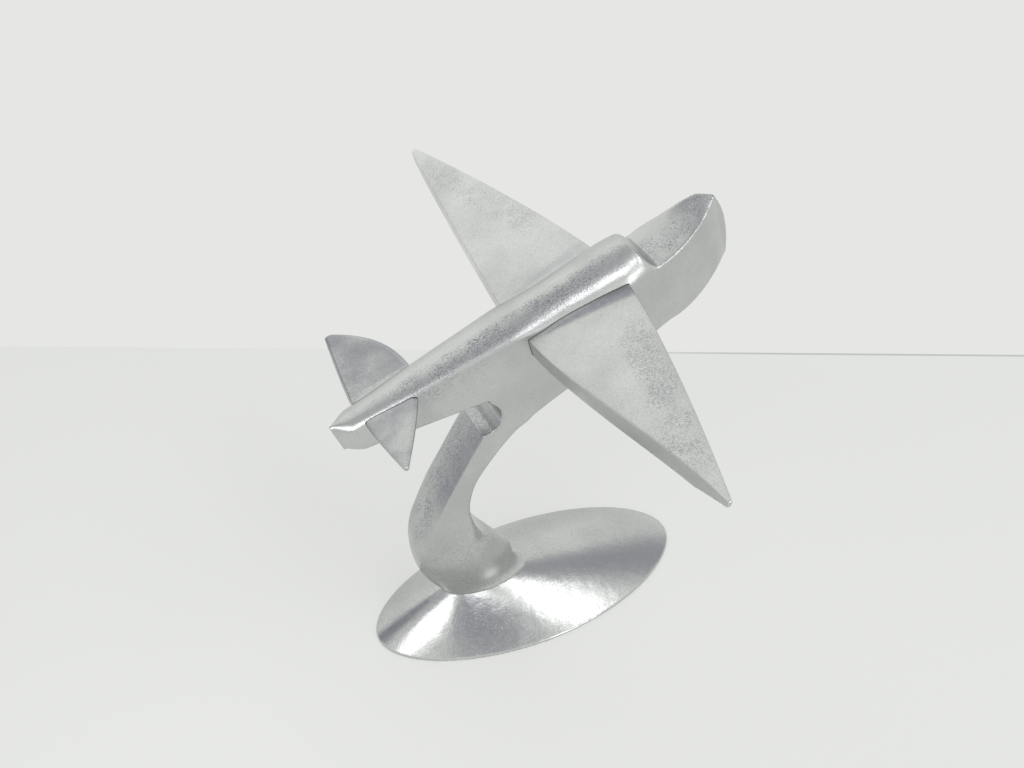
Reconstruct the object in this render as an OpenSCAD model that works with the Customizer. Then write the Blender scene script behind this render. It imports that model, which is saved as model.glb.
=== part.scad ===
// Cast aluminium model airplane on a swept stand with an oval base.
// Millimetres, +Z up, +X to the nose, +Y to port. The origin lies on the table under the object's middle.
// The fuselage has a frame of its own, tilted nose up: s runs forward and h upward from a datum in the
// wing roots. A place in that frame is written [s, h].

/* [Base] */
// Half of the base's length
base_half_length = 73.2; // [60:0.2:90]
// Half of the base's width
base_half_width = 33.9; // [28:0.1:45]
// How far the middle of the base lies behind the origin
base_setback = 2; // [0:0.1:6]
// Height of the upright rim
rim_height = 1; // [0.6:0.1:2.5]
// Height that the cone of the base would reach at its point
cone_height = 22.6; // [21:0.1:28]
// How far the cone's point lies behind the middle of the base
cone_setback = 30.4; // [24:0.2:36]
// Outward swell of the cone, as a share of its height
cone_swell = 0.2; // [0:0.02:0.4]
// Height of the flat seat that the stand is screwed down on
seat_height = 17.5; // [15:0.25:19]
// Wall of the hollow base, straight up
base_wall = 5.5; // [4:0.25:7]
// Width of the land that the base rests on
rim_land = 4.2; // [3:0.2:7]
// Clear height between the boss and the table
boss_lift = 2; // [1:0.25:2.5]

/* [Stand] */
// How far back the stand's bow reaches, behind the middle of the base
bow_reach = 54.6; // [48:0.2:60]
// Height of the bow's rearmost point
bow_height = 52; // [44:0.5:58]
// Thickness of the stand at the bow, front to rear
bow_depth = 30.4; // [26:0.5:34]
// Half of the stand's width at the bow
bow_half_width = 10.2; // [9:0.1:11]
// Half of the stand's width at the neck below the fuselage
neck_half_width = 9.8; // [8.8:0.1:10]
// Radius of the round end of the notch between stand and tail boom
notch_radius = 7.6; // [6:0.1:9]
// How far that round end's middle lies behind the datum
notch_setback = 35.2; // [34:0.1:37]

/* [Fuselage] */
// Nose-up tilt of the fuselage, degrees
climb = 19; // [14:0.5:24]
// Height of the fuselage's datum above the table
datum_height = 152.4; // [146:0.2:160]
// How far the datum lies ahead of the middle of the base
datum_lead = 0.4; // [-4:0.2:4]
// Datum to the end of the tail
tail_reach = 83; // [76:0.5:92]
// Datum to the foremost point of the prow
nose_reach = 82; // [78:0.5:90]
// Half width of the fuselage just ahead of the rounded tail end
tail_half_width = 6; // [5:0.1:7.5]
// Half width at the widest place, behind the windscreen
cabin_half_width = 13.2; // [12:0.1:15]
// Half width of the cowl at the foot of the windscreen
cowl_half_width = 11.4; // [10:0.1:12]
// Height of the spine above the datum at the tail end
tail_crown = 4.2; // [3:0.1:6]
// Height of the spine above the datum at the cabin
cabin_crown = 7.8; // [6.5:0.1:9]
// Datum to the top edge of the windscreen
windscreen_top = 42; // [40:0.25:45]
// Length of the hollow windscreen step
windscreen_run = 5.3; // [4:0.1:7]
// Height of the cowl's flat above the datum at the foot of the windscreen
cowl_rear_height = -1.7; // [-3:0.1:0]
// Height of the cowl's flat above the datum at the nose
cowl_front_height = 3.2; // [1:0.1:5]
// How much higher the cowl's flat is ground along its port edge
cowl_lean = 3.6; // [0:0.1:4]
// Height of the shoulders above the datum, behind the wings
shoulder_height = 2; // [1:0.1:2.6]
// Depth of the tail boom's underside below the datum, at the tail end
boom_depth = 8.4; // [7.5:0.1:11]
// Depth of the tail boom's underside below the datum, at the notch
boom_root_depth = 17.4; // [15.5:0.1:18.5]
// Depth of the belly below the datum, under the cabin
belly_depth = 28.9; // [26:0.1:32]

/* [Wings] */
// Centre line to wing tip
wing_half_span = 115; // [100:1:130]
// Leading edge ahead of the datum, on the centre line
wing_lead = 34.8; // [32:0.1:36]
// How far the leading edge sweeps back to the tip
wing_lead_sweep = 29.4; // [25:0.1:31]
// Trailing edge behind the datum at the root
wing_trail = 7.8; // [6:0.1:10]
// How far the port trailing edge sweeps forward to the tip
port_trail_sweep = 11.2; // [9:0.1:13]
// How far the starboard trailing edge sweeps forward to the tip, in a shallow S
starboard_trail_sweep = 12.6; // [9:0.1:13]
// Height of the wing's upper face above the datum, on the centre line
wing_height = -0.9; // [-2:0.1:0]
// Upward slope of the wings, degrees
wing_dihedral = 5.4; // [3:0.1:8]
// Thickness of the blunt trailing edge
wing_trail_thickness = 9.8; // [8:0.1:11]
// How far the lower corner of the trailing edge lies behind the upper one
wing_trail_rake = 0.6; // [0:0.1:1.5]
// Thickness of the leading edge
wing_lead_thickness = 1.2; // [0.8:0.1:2.5]
// Crown of the wing's upper face
wing_crown = 0.8; // [0:0.1:1.2]
// Distance from the centre line to the flat seat of a wing root
wing_seat = 10; // [9:0.1:10.2]
// Thickness of the tenon on a wing root
wing_tenon_thickness = 5; // [3:0.25:6]
// Length of that tenon, front to rear
wing_tenon_length = 24; // [18:0.5:28]

/* [Tailplane] */
// Centre line to tailplane tip
tail_half_span = 38.8; // [32:0.2:46]
// Height of the tailplane's upper face above the datum, on the centre line
tail_height = 1.2; // [0.5:0.1:2]
// Upward slope of the tailplane, degrees
tail_dihedral = 10.5; // [6:0.25:12]
// Thickness of a tailplane panel
tail_thickness = 3; // [2.4:0.1:3.6]
// Leading edge of the port panel behind the datum, at the root
port_tail_lead = 47.2; // [44:0.2:50]
// How far the port leading edge sweeps back to the tip
port_tail_sweep = 18.8; // [16:0.2:19.6]
// Bend of the port leading edge: 1 is straight, more is fuller
port_tail_bend = 2.9; // [1.5:0.1:3.5]
// Leading edge of the starboard panel behind the datum, at the root
starboard_tail_lead = 48.6; // [46:0.2:51]
// How far the starboard leading edge sweeps back to the tip
starboard_tail_sweep = 17.4; // [14:0.2:18]
// Bend of the starboard leading edge: 1 is straight, more is fuller
starboard_tail_bend = 1.2; // [1:0.1:3]
// Trailing edge of the port panel behind the datum, at the root
port_tail_trail = 73.2; // [70:0.2:75]
// Trailing edge of the starboard panel behind the datum, at the root
starboard_tail_trail = 72; // [70:0.2:75]
// How far the tailplane's trailing edge sweeps forward to the tip
tail_trail_sweep = 4.4; // [2:0.1:4.6]
// Distance from the centre line to the flat seat of a tailplane root
tail_seat = 5.6; // [4.8:0.1:6]
// Thickness of the tongue on a tailplane root
tail_tongue_thickness = 2.2; // [1.6:0.1:2.4]
// Length of that tongue, front to rear
tail_tongue_length = 11; // [8:0.5:13]

/* [Pins and screw] */
// Diameter of a wing pin
wing_pin_diameter = 4; // [3:0.25:5]
// Distance of a wing pin from the centre line
wing_pin_offset = 6; // [5.5:0.1:6.5]
// Diameter of a tail pin
tail_pin_diameter = 2; // [1.5:0.1:2.4]
// Distance of a tail pin from the centre line
tail_pin_offset = 3; // [2.6:0.1:3.4]
// Shank diameter of the base screw
screw_diameter = 6; // [5:0.5:8]
// How far the base screw reaches into the stand
screw_grip = 15; // [10:0.5:22]
// Diameter of the screw's head
screw_head_diameter = 10; // [9:0.25:11]
// Height of the screw's head
screw_head_height = 5; // [4:0.25:5.5]
// Width across the flats of the screw's hexagon socket
screw_socket = 5; // [4:0.5:6]
// Outer diameter of the washer
washer_diameter = 12.4; // [12:0.1:13]
// Thickness of the washer
washer_thickness = 1.6; // [1:0.1:2]
// Diameter of the base dowel
dowel_diameter = 4; // [3:0.25:5]
// Length of the base dowel, half of it in the stand
dowel_length = 14; // [10:0.5:16]

/* [Clearances] */
// Gap round a tenon or tongue, and between the two of a pair
joint_gap = 0.15; // [0.1:0.05:0.25]
// Gap round a pin, dowel or screw shank, on the radius
pin_gap = 0.1; // [0.05:0.05:0.2]

/* [Hidden] */

aluminium = [0.78, 0.79, 0.8];
steel = [0.55, 0.57, 0.6];
port = 1;
starboard = -1;
cut = 1;                // how far a cutting tool runs past what it cuts
round_steps = 48;       // facets of a round hole or pin

datum_x = datum_lead - base_setback;
oval_power = 1.9;       // 2 would be a true ellipse
ring_points = 44;
cone_rings = 9;

// The seat is the level cut across the cone, so it has the outline of the base on a smaller scale.
function cone_rise(share) = (1 - share) * (1 + cone_swell * share);
function cone_level(share) = rim_height + (cone_height - rim_height) * cone_rise(share);
seat_rise = (seat_height - rim_height) / (cone_height - rim_height);
seat_share = cone_swell < 0.001 ? 1 - seat_rise
    : (cone_swell - 1 + sqrt(pow(1 - cone_swell, 2) + 4 * cone_swell * (1 - seat_rise))) / (2 * cone_swell);
seat_half_length = base_half_length * seat_share;
seat_half_width = base_half_width * seat_share;
seat_x = -base_setback - cone_setback * (1 - seat_share);

screw_x = seat_x + seat_half_length * 0.2;
dowel_x = seat_x - seat_half_length * 0.45;
web = seat_height - boss_lift - screw_head_height - washer_thickness - 0.9;
washer_top = seat_height - web;
boss_half_width = washer_diameter / 2 + 2.6;

// A superellipse point: power 2 is round, a high power is a rounded box.
function oval(turn, power) = [sign(cos(turn)) * pow(abs(cos(turn)), 2 / power),
    sign(sin(turn)) * pow(abs(sin(turn)), 2 / power)];

// A smooth step from 0 to 1 between two places.
function ease(from, to, at) = let (t = min(1, max(0, (at - from) / (to - from)))) t * t * (3 - 2 * t);

// Catmull-Rom curve through a list of rows, at a running place.
function row(list, i) = list[min(len(list) - 1, max(0, i))];
function flow(list, at) = let (i = floor(min(at, len(list) - 1.0001)), t = at - i,
        a = row(list, i - 1), b = row(list, i), c = row(list, i + 1), d = row(list, i + 2))
    0.5 * (2 * b + (c - a) * t + (2 * a - 5 * b + 4 * c - d) * t * t + (3 * b - a - 3 * c + d) * t * t * t);

// A closed skin over rings that all have the same number of points.
module skin(rings) {
    n = len(rings[0]);
    last = (len(rings) - 1) * n;
    polyhedron(
        points = [for (ring = rings) each ring],
        faces = concat(
            [[for (i = [0:n - 1]) i]],
            [[for (i = [n - 1:-1:0]) last + i]],
            [for (j = [0:n:last - n]) for (i = [0:n - 1]) let (k = (i + 1) % n)
                each [[j + i, j + n + i, j + n + k], [j + i, j + n + k, j + k]]]),
        convexity = 8);
}

// Fuselage.
screen_foot = windscreen_top + windscreen_run;
tail_round = 5;         // length of the rounded tail end
prow_height = -9.4;     // height of the prow's foremost point
belly_rear = 25;        // where the belly starts, inside the stand
belly_flat = 40;
belly_dip = 4.5;        // how much deeper the belly is at the datum than where it runs level
chin = 55;
chin_rise = 4.4;
bow_top = nose_reach - 2.6;
bow_bottom = nose_reach - 1.7;

// Half width of the fuselage along s.
function waist(s) = let (back = tail_round - tail_reach, t = (s - back) / (windscreen_top - 9 - back))
    tail_half_width + (cabin_half_width - tail_half_width) * t + 0.6 * t * (1 - t);
function half_width(s) =
    s < tail_round - tail_reach
        ? waist(s) * max(0.36, sqrt(max(0, 1 - pow((tail_round - tail_reach - s) / tail_round, 2))))
    : s < windscreen_top - 9 ? waist(s)
    : s < screen_foot + 3
        ? cabin_half_width + (cowl_half_width - cabin_half_width) * ease(windscreen_top - 9, screen_foot, s)
    : s < bow_top
        ? 0.9 + (cowl_half_width - 0.9)
            * (1 - pow((s - screen_foot - 3) / (bow_top - screen_foot - 3), 2.15))
    : 0.9 - 0.5 * (s - bow_top) / (nose_reach - bow_top);

// Height of the spine, the hollow step of the windscreen, the cowl's flat and the prow.
function cowl(s) = cowl_rear_height
    + (cowl_front_height - cowl_rear_height) * (s - screen_foot) / (bow_top - screen_foot);
function crown(s) =
    s <= windscreen_top ? tail_crown + (cabin_crown - tail_crown) * pow((s + tail_reach)
        / (windscreen_top + tail_reach), 1.4)
    : s < screen_foot ? cowl(screen_foot) + (cabin_crown - cowl(screen_foot))
        * pow(1 - (s - windscreen_top) / windscreen_run, 2)
    : s < bow_top ? cowl(s)
    : prow_height
        + (cowl_front_height - prow_height) * sqrt(max(0, (nose_reach - s) / (nose_reach - bow_top)));

// Height of the shoulders, where the arched top or the cowl's flat meets the sides.
function shoulder(s) = s < screen_foot
    ? shoulder_height + (cowl(screen_foot) - 0.4 - shoulder_height) * ease(-14, 8, s)
    : crown(s) - 0.4;

// The port edge of the cowl's flat stands higher, most of all just short of the nose.
function lean(s) =
    cowl_lean * ease(screen_foot + 11, bow_top - 3, s) * (1 - ease(bow_top - 6, nose_reach, s));

// Underside: boom, belly and chin.
function keel(s) =
    s < -belly_rear
        ? -boom_depth
            - (boom_root_depth - boom_depth) * pow((s + tail_reach) / (tail_reach - notch_setback), 1.15)
    : s < belly_flat ? -belly_depth - belly_dip * pow((belly_flat - s) / belly_flat, 1.7)
    : s < chin ? -belly_depth
    : s < bow_bottom ? -belly_depth + chin_rise * pow((s - chin) / (bow_bottom - chin), 1.5)
    : prow_height
        - (belly_depth + prow_height - chin_rise)
            * sqrt(max(0, (nose_reach - s) / (nose_reach - bow_bottom)));
function bilge(s) = s < bow_bottom ? min(1.6, half_width(s) * 0.9) : 0.2;

arch_steps = 9;
bilge_steps = 4;
// One side of a section as [half width, height], from the middle of the top to the middle of the bottom.
function half_section(s, side) =
    let (a = half_width(s), c = crown(s), d = c - shoulder(s), b = keel(s), r = bilge(s))
    concat(
        [for (i = [0:arch_steps]) let (t = 90 * i / arch_steps)
            [a * sin(t), c - d * (1 - cos(t)) + lean(s) * (1 + side * sin(t)) / 2]],
        [for (i = [0:bilge_steps]) let (t = 90 * i / bilge_steps)
            [a - r * (1 - cos(t)), b + r * (1 - sin(t))]]);
function section(s) =
    let (left = half_section(s, port), right = half_section(s, starboard), n = len(left))
    concat(
    [for (i = [0:n - 1]) [s, -right[i][0], right[i][1]]],
    [for (i = [n - 1:-1:1]) [s, left[i][0], left[i][1]]]);

stations = concat(
    [for (t = [0, 0.03, 0.1, 0.22, 0.45, 0.7, 1]) -tail_reach + tail_round * t],
    [for (s = [-72:6:-30]) s],
    [-belly_rear - 0.01, -belly_rear + 0.01],
    [for (s = [-18:4:14]) s],
    [22, windscreen_top - 9],
    [for (t = [0.35, 0.7, 1]) windscreen_top - 9 + 9 * t],
    [for (t = [0.15, 0.35, 0.6, 0.8, 1]) windscreen_top + windscreen_run * t],
    [for (t = [0.04:0.08:0.92]) screen_foot + (bow_top - screen_foot) * t],
    [for (t = [0.98, 1]) screen_foot + (bow_top - screen_foot) * t],
    [for (t = [0.3, 0.36, 0.6, 0.8, 0.94]) bow_top + (nose_reach - bow_top) * t]);

module in_fuselage() {
    translate([datum_x, 0, datum_height])
        rotate([0, -climb, 0])
            children();
}

module fuselage_shape() {
    skin([for (s = stations) section(s)]);
}

// Stand.
function place(s, h) =
    [datum_x + s * cos(climb) - h * sin(climb), datum_height + s * sin(climb) + h * cos(climb)];

// Each row: rear edge [x, z], front edge [x, z], half width, boxiness.
bow_x = -base_setback - bow_reach;
foot_rear = seat_x - seat_half_length;
foot_front = seat_x + seat_half_length;
function level(share) = seat_height + (bow_height - seat_height) * share;
function rung(rear, front, half, power) = [rear[0], rear[1], front[0], front[1], half, power];
rungs = [
    rung([foot_rear, seat_height], [foot_front, seat_height], seat_half_width, oval_power),
    rung([foot_rear - 0.2, level(0.018)], [foot_front - 1.6, level(0.02)], seat_half_width - 1, 1.95),
    rung([foot_rear - 0.9, level(0.06)], [foot_front - 3, level(0.07)], seat_half_width - 1.5, 1.95),
    rung([foot_rear - 3.4, level(0.17)], [foot_front - 4.4, level(0.2)], seat_half_width - 1.1, 2),
    rung([foot_rear - 7.4, level(0.38)], [foot_front - 8, level(0.46)], seat_half_width, 2.1),
    rung([bow_x + 1.2, level(0.68)], [bow_x + bow_depth + 6.2, level(0.78)], bow_half_width - 0.2, 2.3),
    rung([bow_x, bow_height], [bow_x + bow_depth, bow_height + 1], bow_half_width, 3),
    rung([bow_x + 2.2, bow_height + 9], [bow_x + bow_depth - 3.6, bow_height + 10], bow_half_width, 3.8),
    rung(place(-73, -63), place(-55.2, -66.8), bow_half_width, 4.5),
    rung(place(-63.8, -54), place(-52.4, -59.4), (bow_half_width + neck_half_width) / 2, 7),
    rung(place(-54, -45.5), place(-47.6, -53), neck_half_width, 9),
    rung(place(-46.5, -39), place(-38.9, -46.8), neck_half_width, 10),
    rung(place(-40.8, -34.2), place(-31.4, -42.5), neck_half_width, 10),
    rung(place(-36, -30.6), place(-24.6, -39), neck_half_width, 10),
    rung(place(-31.5, -26), place(-16.5, -35.4), neck_half_width, 10),
    rung(place(-30, -18), place(-9, -27), neck_half_width, 10),
    rung(place(-30, -11), place(-3, -18), neck_half_width, 10)];

stand_steps = 3;        // sections from one rung to the next
stand_points = 32;
function stand_ring(at) = let (r = flow(rungs, at),
        middle = [(r[0] + r[2]) / 2, (r[1] + r[3]) / 2], arm = [(r[2] - r[0]) / 2, (r[3] - r[1]) / 2])
    [for (i = [0:stand_points - 1]) let (p = oval(360 * (i + 0.5) / stand_points, r[5]))
        [middle[0] + arm[0] * p[0], r[4] * p[1], middle[1] + arm[1] * p[0]]];

module stand_shape() {
    skin([for (i = [0:(len(rungs) - 1) * stand_steps]) stand_ring(i / stand_steps)]);
}

// Wings.
trail_wave = 0.75;      // share of the starboard trailing edge's sweep that follows the shallow S
function wing_share(y) = y / wing_half_span;
function lead_at(y) = wing_lead - wing_lead_sweep * pow(wing_share(y), 1.305);
function trail_at(y, side) = let (t = max(0, (y - cabin_half_width) / (wing_half_span - cabin_half_width)))
    -wing_trail + (side == port ? port_trail_sweep * pow(t, 1.1)
        : starboard_trail_sweep * (trail_wave * (1 - cos(180 * t)) / 2 + (1 - trail_wave) * t));
function trail_thickness_at(y) = max(wing_lead_thickness + 0.4,
    (wing_trail_thickness - 2 * (1 - ease(30, 80, y))) * (1 - pow(y / (wing_half_span + 1), 18)));
function wing_top_at(y) = wing_height + tan(wing_dihedral) * y;

wing_steps = 7;
// The outline of a wing section in [s, h], from the trailing edge over the top and back underneath.
function wing_outline(y, side) = let (a = trail_at(y, side), b = lead_at(y), top = wing_top_at(y),
        t = min(trail_thickness_at(y), 0.9 * (b - a) + 2.5), l = min(wing_lead_thickness, t))
    concat(
        [for (i = [0:wing_steps]) let (k = i / wing_steps)
            [a + (b - a) * k, top + min(wing_crown, (b - a) / 30) * 4 * k * (1 - k)]],
        [for (k = [0:1]) [b + l * 0.3 * (1 - k), top - l * (0.5 + k * 0.5)]],
        [[(a + b) / 2, top - (t + l) / 2], [a - wing_trail_rake * min(1, t / 5), top - t]]);
wing_root_outline = wing_outline(cabin_half_width, port);
wing_tenon_rear = (lead_at(0) - wing_trail - wing_tenon_length) / 2 - 3;
wing_tenon_top = wing_top_at(wing_seat) - 1.6;

// A slab with an outline in [s, h], between two distances from the centre line.
module root_slab(outline, from, to, side) {
    scale([1, side, 1])
        translate([0, from, 0])
            rotate([90, 0, 0])
                mirror([0, 0, 1])
                    linear_extrude(to - from)
                        polygon(outline);
}

module wing_tenon(side, gap) {
    inner = gap > 0 ? -cut : joint_gap;
    scale([1, side, 1])
        translate([wing_tenon_rear - gap, inner, wing_tenon_top - wing_tenon_thickness - gap])
            cube([wing_tenon_length + 2 * gap, wing_seat + cut - inner, wing_tenon_thickness + 2 * gap]);
}

module wing(side) {
    tip = wing_half_span - 0.6;
    reach = concat([for (k = [0:8]) cabin_half_width + (tip - 12 - cabin_half_width) * k / 8],
        [tip - 8, tip - 4.5, tip - 2, tip - 0.6, tip]);
    in_fuselage() {
        difference() {
            union() {
                root_slab(wing_root_outline, wing_seat, cabin_half_width, side);
                scale([1, side, 1])
                    skin([for (y = reach) [for (p = wing_outline(y, side)) [p[0], y, p[1]]]]);
                wing_tenon(side, 0);
            }
            wing_pin_hole(side, pin_gap);
        }
    }
}

wing_pin_s = wing_tenon_rear + wing_tenon_length / 2;
wing_pin_bottom = keel(wing_pin_s) + 0.4;
wing_pin_top = wing_tenon_top - 0.4;
module wing_pin_hole(side, gap) {
    translate([wing_pin_s, side * wing_pin_offset, gap > 0 ? wing_pin_bottom - 4 * cut : wing_pin_bottom])
        cylinder(h = wing_pin_top - wing_pin_bottom + (gap > 0 ? 4 * cut + gap : 0),
            d = wing_pin_diameter + 2 * gap, $fn = round_steps);
}

// Tailplane.
function tail_top_at(y) = tail_height + tan(tail_dihedral) * y;
// Half-round edges on a thin panel, in [s, h].
function tail_outline(y, lead, sweep, bend, trail) = let (k = y / tail_half_span,
        b = -lead - sweep * pow(k, bend), a = -trail + tail_trail_sweep * pow(k, 1.4),
        t = tail_thickness * (1 - 0.35 * k * k), r = min(t / 2, max(0.3, (b - a) / 2.2)),
        m = tail_top_at(y) - t / 2)
    concat(
        [for (i = [0:4]) let (v = 90 - 45 * i) [b - r + r * cos(v), m + t / 2 * sin(v)]],
        [for (i = [0:4]) let (v = -90 - 45 * i) [a + r + r * cos(v), m + t / 2 * sin(v)]]);
tail_tongue_rear = -starboard_tail_trail + 5;
tail_tongue_top = tail_top_at(tail_seat) - (tail_thickness - tail_tongue_thickness) / 2;
tail_root = tail_half_width + 2.5;
port_tail_root = tail_outline(tail_root, port_tail_lead, port_tail_sweep, port_tail_bend, port_tail_trail);
starboard_tail_root = tail_outline(tail_root, starboard_tail_lead, starboard_tail_sweep,
    starboard_tail_bend, starboard_tail_trail);

module tail_tongue(side, gap) {
    inner = gap > 0 ? -cut : joint_gap;
    scale([1, side, 1])
        translate([tail_tongue_rear - gap, inner, tail_tongue_top - tail_tongue_thickness - gap])
            cube([tail_tongue_length + 2 * gap, tail_seat + cut - inner, tail_tongue_thickness + 2 * gap]);
}

module tailplane(side, lead, sweep, bend, trail) {
    reach = concat([for (k = [0:7]) tail_root + (tail_half_span - 4 - tail_root) * k / 7],
        [tail_half_span - 2.6, tail_half_span - 1.4, tail_half_span - 0.6, tail_half_span - 0.15]);
    in_fuselage() {
        difference() {
            union() {
                root_slab(tail_outline(tail_root, lead, sweep, bend, trail), tail_seat, tail_root, side);
                scale([1, side, 1])
                    skin([for (y = reach)
                        [for (p = tail_outline(y, lead, sweep, bend, trail)) [p[0], y, p[1]]]]);
                tail_tongue(side, 0);
            }
            tail_pin_hole(side, pin_gap);
        }
    }
}

tail_pin_s = tail_tongue_rear + tail_tongue_length / 2;
tail_pin_bottom = keel(tail_pin_s) + 0.4;
tail_pin_top = tail_tongue_top - 0.3;
module tail_pin_hole(side, gap) {
    translate([tail_pin_s, side * tail_pin_offset, gap > 0 ? tail_pin_bottom - 4 * cut : tail_pin_bottom])
        cylinder(h = tail_pin_top - tail_pin_bottom + (gap > 0 ? 4 * cut + gap : 0),
            d = tail_pin_diameter + 2 * gap, $fn = round_steps);
}

module body_casting() {
    color(aluminium)
        difference() {
            union() {
                in_fuselage()
                    fuselage_shape();
                stand_shape();
            }
            in_fuselage() {
                translate([-notch_setback, 0, -boom_root_depth - notch_radius])
                    rotate([90, 0, 0])
                        cylinder(h = 4 * cabin_half_width, r = notch_radius, center = true,
                            $fn = round_steps);
                for (side = [port, starboard]) {
                    root_slab(offset_outline(wing_root_outline, joint_gap), wing_seat - joint_gap,
                        2 * cabin_half_width, side);
                    wing_tenon(side, joint_gap);
                    wing_pin_hole(side, pin_gap);
                    tail_tongue(side, joint_gap);
                    tail_pin_hole(side, pin_gap);
                }
                root_slab(offset_outline(port_tail_root, joint_gap), tail_seat - joint_gap,
                    2 * cabin_half_width, port);
                root_slab(offset_outline(starboard_tail_root, joint_gap), tail_seat - joint_gap,
                    2 * cabin_half_width, starboard);
            }
            translate([screw_x, 0, seat_height - cut])
                cylinder(h = screw_grip + 2 * cut, d = screw_diameter + 2 * pin_gap, $fn = round_steps);
            translate([dowel_x, 0, seat_height - cut])
                cylinder(h = dowel_length / 2 + pin_gap + cut, d = dowel_diameter + 2 * pin_gap,
                    $fn = round_steps);
        }
}

// The outline grown away from its middle by the gap.
function offset_outline(outline, gap) = let (n = len(outline),
        m = [for (k = [0:1]) (min([for (p = outline) p[k]]) + max([for (p = outline) p[k]])) / 2])
    [for (p = outline) [p[0] + gap * sign(p[0] - m[0]), p[1] + gap * sign(p[1] - m[1])]];

function cone_ring(half_length, half_width, middle_x, z) =
    [for (i = [0:ring_points - 1]) let (p = oval(360 * (i + 0.5) / ring_points, oval_power))
        [middle_x + half_length * p[0], half_width * p[1], z]];

module cone(half_length, half_width, drop, foot) {
    tip = 0.06;
    rings = concat(
        [cone_ring(half_length, half_width, -base_setback, foot)],
        [for (i = [0:cone_rings]) let (share = 1 - (1 - tip) * i / cone_rings)
            cone_ring(half_length * share, half_width * share,
                -base_setback - cone_setback * (1 - share), cone_level(share) - drop)]);
    skin(rings);
}

module base_casting() {
    color(aluminium)
        difference() {
            cone(base_half_length, base_half_width, 0, 0);
            translate([-2 * base_half_length, -base_half_width, seat_height])
                cube([4 * base_half_length, 2 * base_half_width, cone_height]);
            difference() {
                cone(base_half_length - rim_land, base_half_width - rim_land, base_wall, -base_wall - cut);
                translate([seat_x, 0, boss_lift])
                    linear_extrude(cone_height)
                        polygon([for (i = [0:round_steps - 1]) let (t = 360 * i / round_steps)
                            [(seat_half_length + 1) * cos(t), boss_half_width * sin(t)]]);
            }
            translate([screw_x, 0, -cut])
                cylinder(h = washer_top + cut, d = washer_diameter + 2 * pin_gap + 0.2, $fn = round_steps);
            translate([screw_x, 0, 0])
                cylinder(h = 2 * seat_height, d = screw_diameter + 2 * pin_gap, $fn = round_steps);
            translate([dowel_x, 0, seat_height - dowel_length / 2 - pin_gap])
                cylinder(h = seat_height, d = dowel_diameter + 2 * pin_gap, $fn = round_steps);
        }
}

module port_wing() {
    color(aluminium)
        wing(port);
}

module starboard_wing() {
    color(aluminium)
        wing(starboard);
}

module port_tailplane() {
    color(aluminium)
        tailplane(port, port_tail_lead, port_tail_sweep, port_tail_bend, port_tail_trail);
}

module starboard_tailplane() {
    color(aluminium)
        tailplane(starboard, starboard_tail_lead, starboard_tail_sweep, starboard_tail_bend,
            starboard_tail_trail);
}

module port_wing_pin() {
    color(steel)
        in_fuselage()
            wing_pin_hole(port, 0);
}

module starboard_wing_pin() {
    color(steel)
        in_fuselage()
            wing_pin_hole(starboard, 0);
}

module port_tail_pin() {
    color(steel)
        in_fuselage()
            tail_pin_hole(port, 0);
}

module starboard_tail_pin() {
    color(steel)
        in_fuselage()
            tail_pin_hole(starboard, 0);
}

module base_screw() {
    head_bottom = washer_top - washer_thickness - screw_head_height;
    color(steel)
        translate([screw_x, 0, head_bottom])
            difference() {
                union() {
                    cylinder(h = screw_head_height, d = screw_head_diameter, $fn = round_steps);
                    cylinder(h = seat_height + screw_grip - head_bottom, d = screw_diameter,
                        $fn = round_steps);
                }
                translate([0, 0, -cut])
                    cylinder(h = screw_head_height * 0.6 + cut, d = screw_socket / cos(30), $fn = 6);
            }
}

module base_washer() {
    color(steel)
        translate([screw_x, 0, washer_top - washer_thickness])
            difference() {
                cylinder(h = washer_thickness, d = washer_diameter, $fn = round_steps);
                translate([0, 0, -cut])
                    cylinder(h = washer_thickness + 2 * cut, d = screw_diameter + 0.4, $fn = round_steps);
            }
}

module base_dowel() {
    color(steel)
        translate([dowel_x, 0, seat_height - dowel_length / 2])
            cylinder(h = dowel_length, d = dowel_diameter, $fn = round_steps);
}

body_casting();
base_casting();
port_wing();
starboard_wing();
port_tailplane();
starboard_tailplane();
port_wing_pin();
starboard_wing_pin();
port_tail_pin();
starboard_tail_pin();
base_screw();
base_washer();
base_dowel();
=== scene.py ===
import math

import bmesh
import bpy
import numpy as np
from mathutils import Matrix


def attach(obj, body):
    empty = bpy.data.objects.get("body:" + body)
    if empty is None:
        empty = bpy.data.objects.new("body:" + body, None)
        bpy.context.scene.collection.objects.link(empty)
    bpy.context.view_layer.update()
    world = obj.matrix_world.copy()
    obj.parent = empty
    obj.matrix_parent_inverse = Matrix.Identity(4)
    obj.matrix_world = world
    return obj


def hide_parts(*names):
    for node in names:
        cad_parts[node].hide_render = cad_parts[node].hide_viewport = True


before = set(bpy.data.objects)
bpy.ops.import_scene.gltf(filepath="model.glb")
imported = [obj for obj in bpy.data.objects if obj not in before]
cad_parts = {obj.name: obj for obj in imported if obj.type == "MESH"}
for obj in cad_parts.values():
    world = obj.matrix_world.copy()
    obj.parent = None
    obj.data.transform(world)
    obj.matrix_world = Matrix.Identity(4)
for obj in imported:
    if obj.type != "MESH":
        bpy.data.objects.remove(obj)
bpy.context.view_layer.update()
print("frame loaded:", len(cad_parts), "nodes")

mm = 0.001
port = 1
starboard = -1


def ease(start, end, at):
    t = min(1.0, max(0.0, (at - start) / (end - start)))
    return t * t * (3 - 2 * t)


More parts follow.
